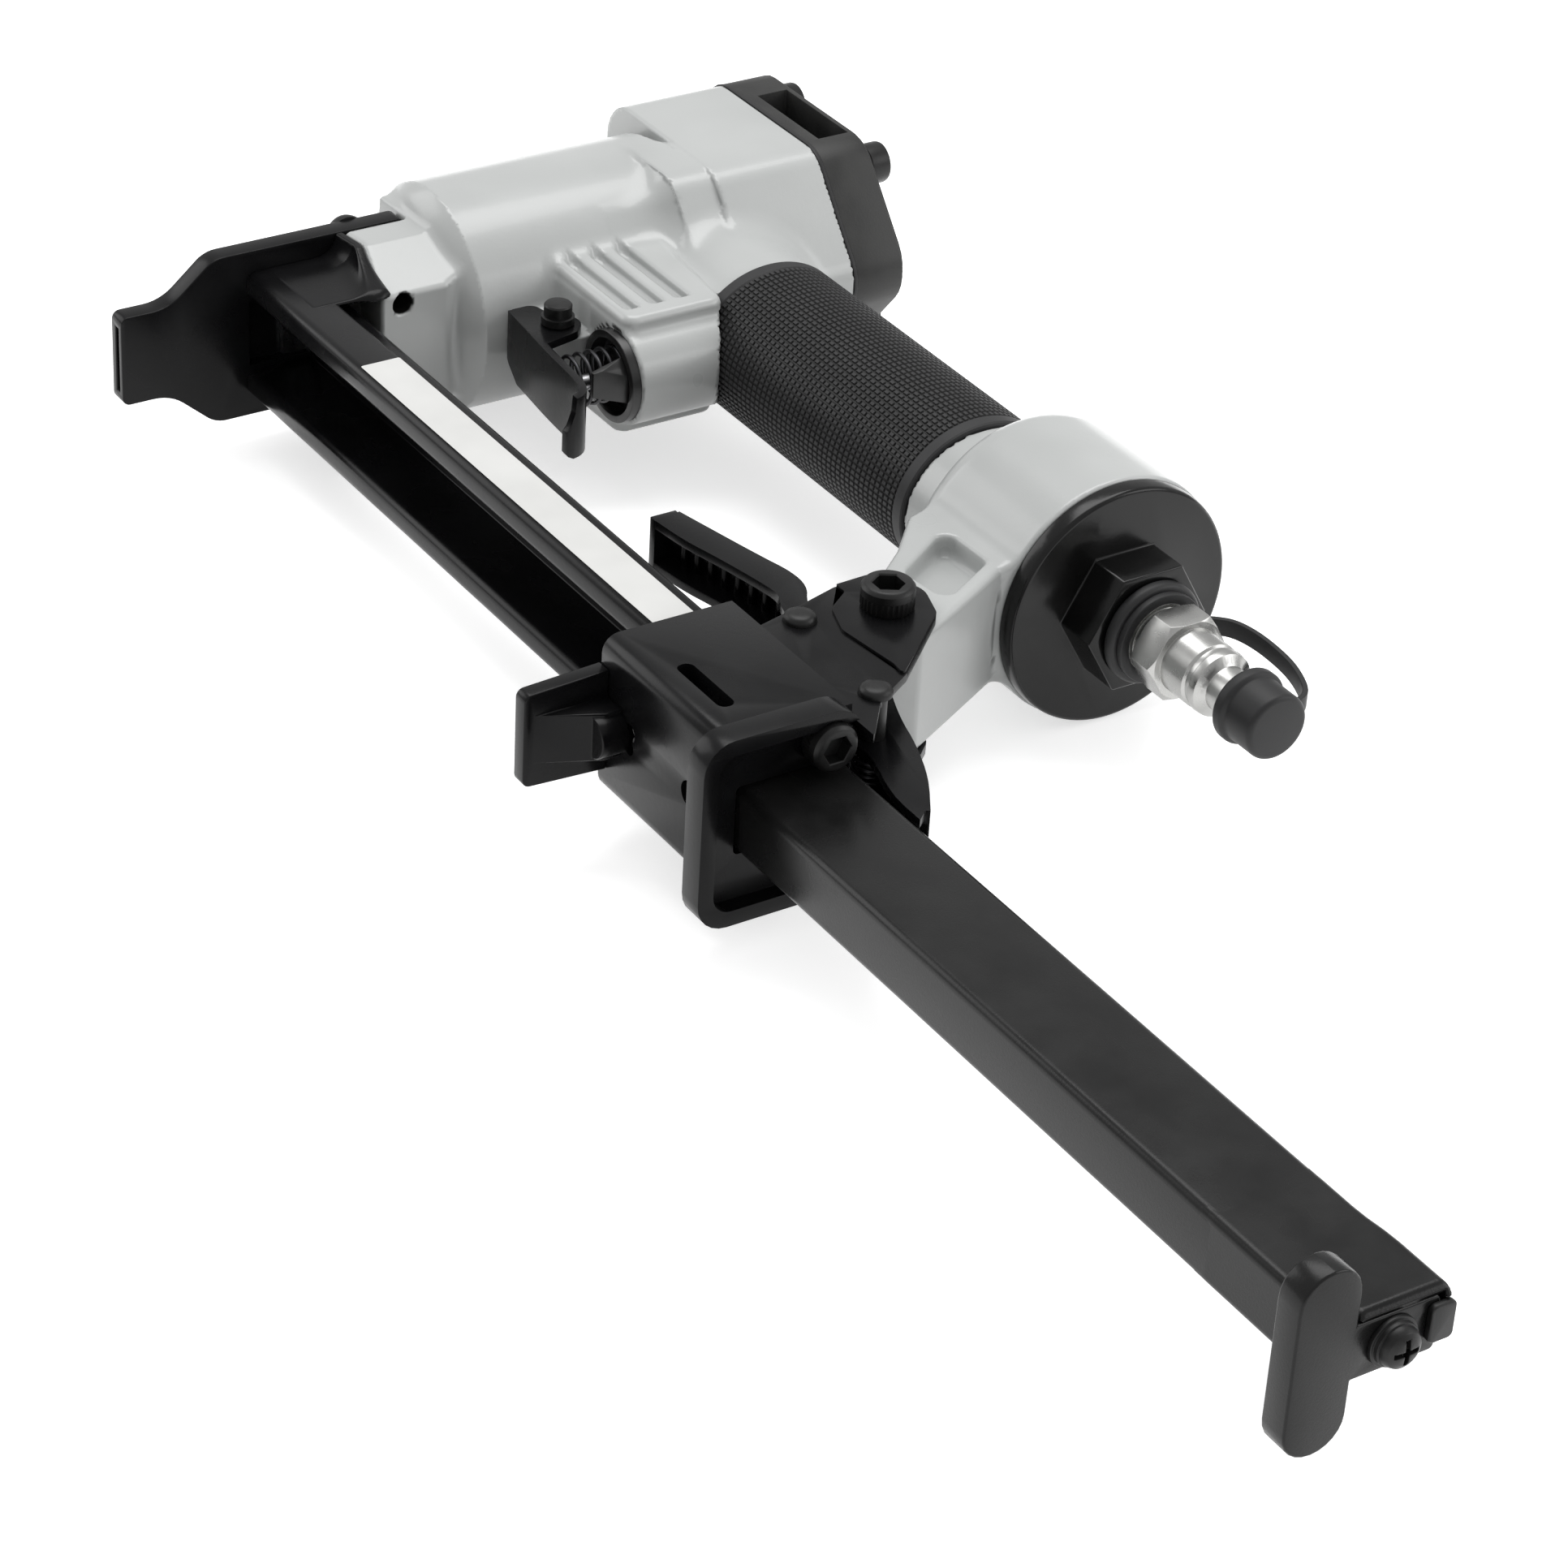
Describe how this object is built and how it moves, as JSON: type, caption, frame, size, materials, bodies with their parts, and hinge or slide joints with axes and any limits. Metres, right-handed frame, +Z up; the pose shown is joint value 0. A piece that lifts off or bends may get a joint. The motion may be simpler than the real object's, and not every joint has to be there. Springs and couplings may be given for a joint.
{
  "type": "pneumatic stapler",
  "caption": "Pneumatic upholstery stapler with pistol grip, trigger, long magazine with drawn-out slide, latch lever and capped air inlet.",
  "frame": {"origin": "on the flat nose tip face, on the wall behind the staple slot, in the plane of symmetry of the tool", "axes": "+X from the barrel along handle and magazine towards the air inlet and the slide's pull tab, +Y from the nose tip towards the cylinder cap, +Z up as the tool lies on its side"},
  "size_m": [0.3536, 0.1516, 0.045],
  "materials": {
    "body_casting": "satin",
    "cylinder_cap": "satin",
    "cap_gasket": "matte",
    "cap_screws": "satin",
    "cylinder_sleeve": "satin",
    "bumper": "matte",
    "piston": "satin",
    "piston_ring": "matte",
    "driver_blade": "satin",
    "grip_sleeve": "matte",
    "end_cap": "satin",
    "end_cap_ring": "matte",
    "air_nipple": "polished",
    "dust_cap": "matte",
    "cap_strap": "matte",
    "strap_ring": "matte",
    "trigger": "gloss",
    "trigger_pin": "satin",
    "trigger_spring": "satin",
    "valve_housing": "satin",
    "valve_guard": "satin",
    "valve_stem": "satin",
    "nose_plate": "satin",
    "nose_screws": "satin",
    "fixed_magazine": "satin",
    "magazine_cheeks": "satin",
    "rear_bracket": "satin",
    "rear_collar": "satin",
    "collar_screw": "satin",
    "latch_plates": "satin",
    "latch_rivets": "satin",
    "cross_bolt": "satin",
    "latch_lever": "satin",
    "latch_spring": "satin",
    "foot": "satin",
    "slide_rail": "satin",
    "pull_tab": "satin",
    "slide_catch": "satin",
    "slide_screw": "satin",
    "pusher": "satin",
    "pusher_rod": "satin",
    "label_sticker": "satin"
  },
  "bodies": {
    "tool": {"body_casting": "body_casting", "cylinder_cap": "cylinder_cap", "cap_gasket": "cap_gasket", "cap_screws": "cap_screws", "cylinder_sleeve": "cylinder_sleeve", "bumper": "bumper", "grip_sleeve": "grip_sleeve", "end_cap": "end_cap", "end_cap_ring": "end_cap_ring", "air_nipple": "air_nipple", "strap_ring": "strap_ring", "trigger_pin": "trigger_pin", "valve_housing": "valve_housing", "valve_guard": "valve_guard", "nose_plate": "nose_plate", "nose_screws": "nose_screws", "fixed_magazine": "fixed_magazine", "magazine_cheeks": "magazine_cheeks", "rear_bracket": "rear_bracket", "rear_collar": "rear_collar", "collar_screw": "collar_screw", "latch_plates": "latch_plates", "latch_rivets": "latch_rivets", "cross_bolt": "cross_bolt", "latch_spring": "latch_spring", "foot": "foot", "label_sticker": "label_sticker", "trigger_spring": "trigger_spring"},
    "driver": {"piston": "piston", "piston_ring": "piston_ring", "driver_blade": "driver_blade"},
    "trigger": {"trigger": "trigger"},
    "stem": {"valve_stem": "valve_stem"},
    "latch": {"latch_lever": "latch_lever"},
    "slide": {"slide_rail": "slide_rail", "pull_tab": "pull_tab", "slide_catch": "slide_catch", "slide_screw": "slide_screw", "pusher_rod": "pusher_rod"},
    "pusher": {"pusher": "pusher"},
    "dust_cap": {"dust_cap": "dust_cap", "cap_strap": "cap_strap"}
  },
  "joints": [
    {"name": "trigger_pivot", "type": "hinge", "parent": "tool", "child": "trigger", "pos_m": [0.0331, 0.0714, 0], "axis": [0, 0, 1], "range_deg": [0, 7], "stiffness_Nm_per_rad": 0.6, "springref_deg": -5.73, "deforming": ["trigger_spring"]},
    {"name": "valve_lift", "type": "slide", "parent": "tool", "child": "stem", "axis": [0, 1, 0], "range_m": [0, 0.0016]},
    {"name": "driver_stroke", "type": "slide", "parent": "tool", "child": "driver", "axis": [0, -1, 0], "range_m": [0, 0.032], "stiffness_N_per_m": 60, "springref_m": -0.005},
    {"name": "latch_pivot", "type": "hinge", "parent": "tool", "child": "latch", "pos_m": [0.1761, 0.046, 0], "axis": [0, 0, 1], "range_deg": [0, 5], "stiffness_Nm_per_rad": 0.8, "springref_deg": -5.73},
    {"name": "magazine_slide", "type": "slide", "parent": "tool", "child": "slide", "axis": [-1, 0, 0], "range_m": [0, 0.139]},
    {"name": "pusher_feed", "type": "slide", "parent": "slide", "child": "pusher", "axis": [1, 0, 0], "range_m": [0, 0.11], "stiffness_N_per_m": 40, "springref_m": -0.02},
    {"name": "cap_pull", "type": "slide", "parent": "tool", "child": "dust_cap", "axis": [1, 0, 0], "range_m": [0, 0.02]}
  ],
  "couplings": [
    {"joint": "valve_lift", "follows": "trigger_pivot", "m_per_rad": 0.0125}
  ]
}
